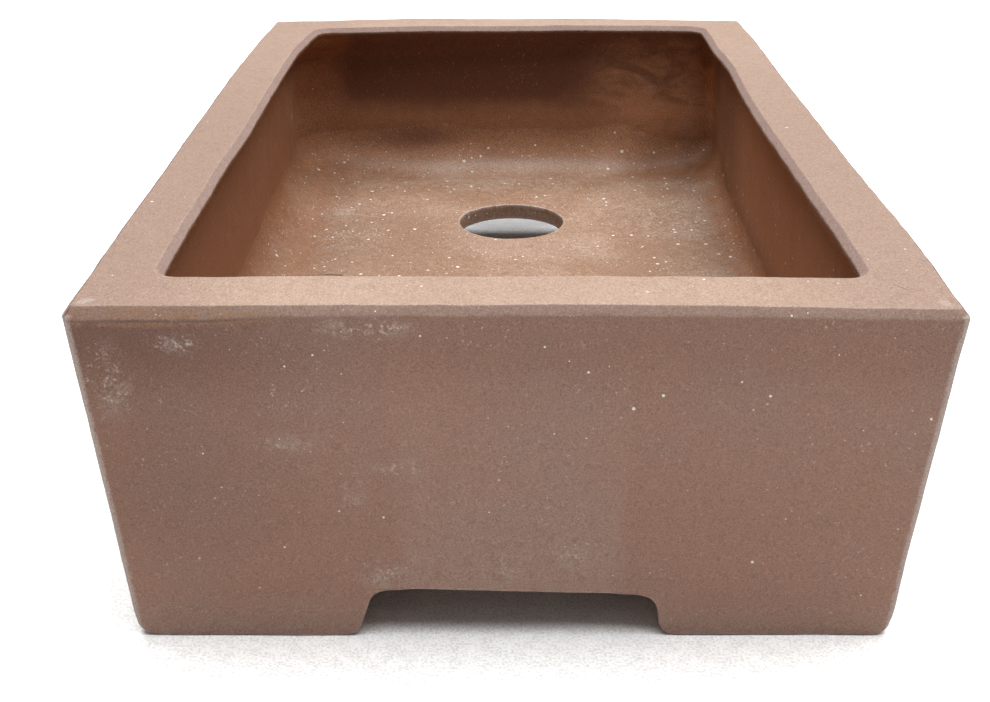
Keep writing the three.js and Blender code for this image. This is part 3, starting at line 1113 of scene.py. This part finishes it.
def paint_bevel(s, colour):
    """The outer bevel, darker than the inner with painted shade, rusty at the front's left end with a
    broken dark line under it.
    """
    clay = s.mix(s.step(s.wide_y, 156, 160), BEVEL_PINK, BEVEL_OUTER_SHADED)
    clay = s.mix(s.step(s.wide_x, 95, 98), clay, BEVEL_OUTER_SHADED)
    colour = s.mix(s.bevel, colour, clay)
    rusty = s.times(s.near(*RUSTY_BEVEL, 0.4), s.step(s.patch, 0.30, 0.60))
    colour = s.mix(s.times(rusty, 0.8), colour, RUST)
    from_foot = s.math("ABSOLUTE", s.plus(s.above_foot, 0.1))
    line = s.times(s.at_left_front, s.step(from_foot, 0.60, 0.15))
    return s.mix(s.times(line, s.step(s.patch, 0.40, 0.52), 0.85), colour, GRAIN_DARK)


def paint_bloom(s, colour):
    broken = s.plus(
        s.times(s.mottle, 0.4),
        s.times(s.patch, 0.3),
        s.times(s.fleck, 0.3),
    )
    haze = s.times(s.bloom, s.step(broken, 0.45, 0.58))
    return s.mix(s.times(haze, 0.36), colour, CHALK)


def paint_wear_and_highlights(s, colour):
    """Worn edges are pale in places, partly painted highlight. The upright corners are pale all along: a
    painted highlight, partly wear.
    """
    worn_and_lit = s.times(s.edge, s.step(s.patch, 0.28, 0.56), s.step(s.wear_and_highlight, 1.4, 1.2))
    colour = s.mix(s.times(worn_and_lit, 0.65), colour, EDGE_PALE)
    return s.mix(s.times(s.step(s.wear_and_highlight, 1.05, 1.7), 0.75), colour, CORNER_PALE)


def paint_grain(s, colour):
    """Sand and grog: a fine grain all over, pale flecks in drifts, and dark ones."""
    contrast = s.plus(1.9, s.times(s.under_lip, 1.4))
    colour = s.lightened(colour, s.times(s.centred(s.grain), contrast))
    pale = s.step(s.plus(s.fleck, s.times(s.drifts, 0.045)), 0.655, 0.73)
    colour = s.mix(s.times(pale, 0.6), colour, GRAIN_PALE)
    dark = s.step(s.fleck, 0.34, 0.27)
    return s.mix(s.times(dark, 0.5), colour, GRAIN_DARK)


def paint_salt(s, colour):
    return s.mix(s.times(s.salt, 0.9), colour, SALT)


def paint_scratches(s, colour):
    strength = s.plus(s.times(s.on_floor, 0.45), s.times(s.under_lip, 0.20), 0.12)
    return s.mix(s.times(s.scratch, strength), colour, GRAIN_PALE)


def find_roughness(s):
    """The coves were rubbed smooth with a finger, and the rim with a wet sponge."""
    cove_z = s.plus(s.z, s.times(s.step(s.y, 114, 130), 11.0))
    rubbed = s.times(s.under_lip, s.step(cove_z, 56, 40))
    return s.plus(
        0.84,
        s.times(s.centred(s.patch), 0.3),
        s.times(s.rim_top, -0.10),
        s.times(rubbed, -0.22),
        s.times(rubbed, s.step(s.y, 118, 132), -0.16),
        s.times(s.edge, -0.1),
    )


def find_height(s):
    return s.plus(
        s.times(s.grain, 0.04),
        s.times(s.fleck, 0.07),
        s.times(s.patch, 0.09),
        s.times(s.mottle, 0.12),
        s.times(s.salt, 0.05),
        s.times(s.scratch, -0.05),
    )


def make_clay(name):
    """Fired, unglazed clay, painted in layers from the kiln's colours to the latest scratches."""
    s = Clay(name)
    colour = s.mix(s.inside, paint_outside(s), paint_inside(s))
    for paint in (
        paint_rim, paint_bevel, paint_bloom, paint_wear_and_highlights, paint_grain, paint_salt, paint_scratches,
    ):
        colour = paint(s, colour)
    s.finish(colour, find_roughness(s), find_height(s), specular=0.4)
    return s.material


def make_table_cover():
    """White card with a grain that only shows where the pot's shadow falls, and a painted shadow behind
    the back notch.
    """
    s = Shader("white_table", made_at=False)
    grain = s.noise(0.75, 3, 0.75)
    weave = s.noise(4.0, 3, 0.6)
    lit = s.step(s.plus(grain, s.times(s.centred(weave), 0.3)), 0.34, 0.60)
    colour = s.mix(lit, TABLE_SHADED, TABLE_WHITE)
    # A painted shadow on the table behind the back notch.
    # The table seen through the drain hole is grey in the photo, not white.
    colour = s.lightened(colour, s.times(s.near(*TABLE_PAINTED_SHADOW, 0.55), -0.58))
    height = s.plus(s.times(grain, 0.12), s.times(weave, 0.1))
    s.finish(colour, 0.9, height, specular=0.2)
    return s.material


clay_materials = {
    slot: make_clay(slot) for slot in ("clay_rim", "clay_wall", "clay_floor", "clay_coil", "clay_foot")
}

# -------- the pot

for facing in FACINGS:
    wall = "end_wall" if facing in ("front", "back") else "side_wall"
    for kind, section, slot in (
        (wall, wall_section, "clay_wall"),
        ("lip_strip", lip_section, "clay_rim"),
        ("floor_coil", floor_coil_section, "clay_coil"),
    ):
        make_swept(f"clay_{kind}_{facing}", facing, partial(section, facing), slot)
for end, side in CORNER_COIL_RADIUS:
    make_corner_coil(end, side)
    make_foot(end, side)
make_floor()

# -------- stage, light and camera

# The stage is in metres and degrees.
TABLE_SIZE = 4.0
TABLE_PARTS = 8
LIGHT_ENERGY = 6.6
LIGHT_WIDTH = 72
LIGHT_TILT = (-8, 5, 0)
SURROUND_STRENGTH = 0.23
CAMERA_PLACE = (-0.0049, -0.4511, 0.2094)
CAMERA_TILT_DOWN = 24.05
CAMERA_TURN = -0.05
CAMERA_LENS_MM = 52.1
CAMERA_SENSOR_MM = 36.0
CAMERA_NEAREST = 0.01


def make_table():
    mesh = bpy.data.meshes.new("table")
    bm = bmesh.new()
    bmesh.ops.create_grid(bm, x_segments=TABLE_PARTS, y_segments=TABLE_PARTS, size=TABLE_SIZE)
    bm.to_mesh(mesh)
    bm.free()
    table = bpy.data.objects.new("table", mesh)
    bpy.context.scene.collection.objects.link(table)
    mesh.materials.append(make_table_cover())


def make_light():
    """One very large soft light overhead and slightly behind, and a little light from all round."""
    lamp = bpy.data.lights.new("overhead", "SUN")
    lamp.energy = LIGHT_ENERGY
    lamp.angle = math.radians(LIGHT_WIDTH)
    overhead = bpy.data.objects.new("overhead", lamp)
    overhead.rotation_euler = [math.radians(angle) for angle in LIGHT_TILT]
    bpy.context.scene.collection.objects.link(overhead)

    world = bpy.data.worlds.new("studio")
    world.use_nodes = True
    background = world.node_tree.nodes["Background"]
    background.inputs["Color"].default_value = (1.0, 1.0, 1.0, 1.0)
    background.inputs["Strength"].default_value = SURROUND_STRENGTH
    bpy.context.scene.world = world
    bpy.context.scene.view_settings.view_transform = "Standard"


def make_camera():
    data = bpy.data.cameras.new("camera")
    data.sensor_width = CAMERA_SENSOR_MM
    data.lens = CAMERA_LENS_MM
    data.clip_start = CAMERA_NEAREST
    camera = bpy.data.objects.new("camera", data)
    camera.location = CAMERA_PLACE
    camera.rotation_euler = (math.radians(90 - CAMERA_TILT_DOWN), 0, math.radians(CAMERA_TURN))
    bpy.context.scene.collection.objects.link(camera)
    bpy.context.scene.camera = camera


make_table()
make_light()
make_camera()

bpy.context.view_layer.update()
